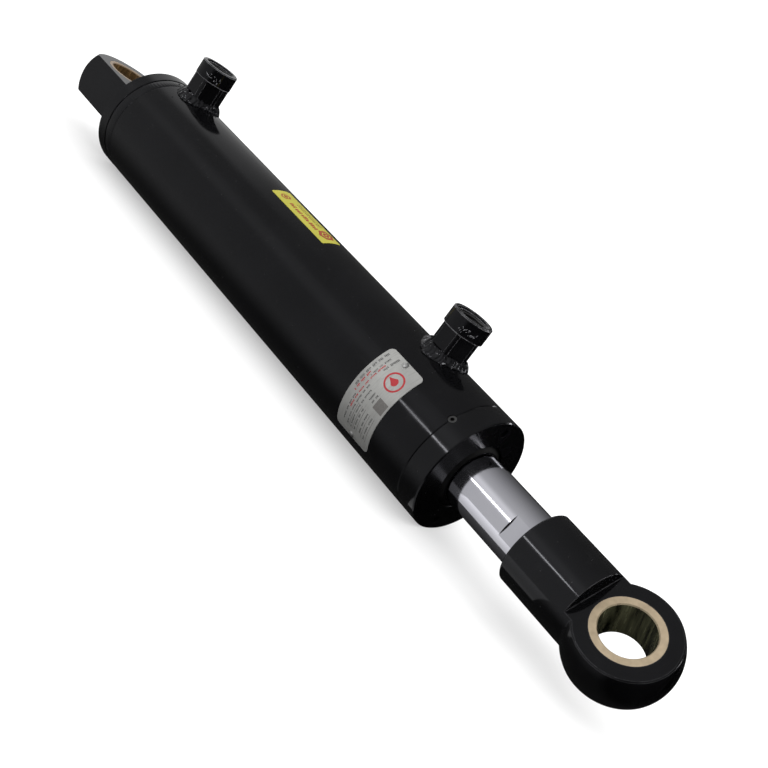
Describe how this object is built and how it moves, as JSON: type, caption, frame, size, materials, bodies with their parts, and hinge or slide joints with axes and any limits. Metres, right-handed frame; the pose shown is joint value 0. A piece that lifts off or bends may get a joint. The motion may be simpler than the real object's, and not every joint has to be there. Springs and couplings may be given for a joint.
{
  "type": "hydraulic cylinder",
  "caption": "Double-acting welded hydraulic cylinder: black barrel with two threaded ports, base eye, sliding chrome rod and a bushed rod eye.",
  "frame": {"origin": "centre of the base eye's pin bore, on the cylinder's axis", "axes": "+X along the cylinder from the base eye to the rod eye, +Z along the base eye's pin bore, to the side with the ports, +Y completes a right-handed frame"},
  "size_m": [0.6004, 0.0765, 0.103],
  "materials": {
    "black_paint": "glossy black enamel over forged, turned and welded steel",
    "hard_chrome": "ground and polished hard chrome",
    "bare_steel": "turned, oiled steel",
    "dark_steel": "black oxide steel",
    "piston_iron": "turned ductile iron",
    "bronze": "turned bearing bronze",
    "black_rubber": "moulded nitrile rubber",
    "seal_polyurethane": "moulded polyurethane",
    "bearing_strip": "machined phenolic bearing strip",
    "plate_metal": null,
    "yellow_film": null
  },
  "bodies": {
    "barrel": {"base_eye": "black_paint", "base_eye_bush": "bronze", "base_eye_weld": "black_paint", "base_cap": "black_paint", "base_cap_weld": "black_paint", "barrel_tube": "black_paint", "base_port_boss": "black_paint", "base_port_weld": "black_paint", "rod_port_boss": "black_paint", "rod_port_weld": "black_paint", "gland": "black_paint", "gland_o_ring": "black_rubber", "gland_backup_ring": "bearing_strip", "rod_guide_bush": "bronze", "rod_seal": "seal_polyurethane", "rod_wiper": "black_rubber", "gland_lock_screw": "dark_steel", "nameplate": "plate_metal", "nameplate_pins": "bare_steel", "yellow_label": "yellow_film"},
    "piston_packing": {"piston_seal": "seal_polyurethane", "piston_guide_rings": "bearing_strip"},
    "rod": {"piston": "piston_iron", "piston_o_ring": "black_rubber", "piston_nut": "bare_steel", "piston_rod": "hard_chrome", "rod_eye": "black_paint", "rod_eye_bush": "bronze"}
  },
  "joints": [
    {"name": "rod_stroke", "type": "slide", "parent": "barrel", "child": "piston_packing", "axis": [1, 0, 0], "range_m": [0, 0.225]},
    {"name": "rod_spin", "type": "hinge", "parent": "piston_packing", "child": "rod", "pos_m": [0.539, 0, 0], "axis": [1, 0, 0], "continuous": true}
  ]
}
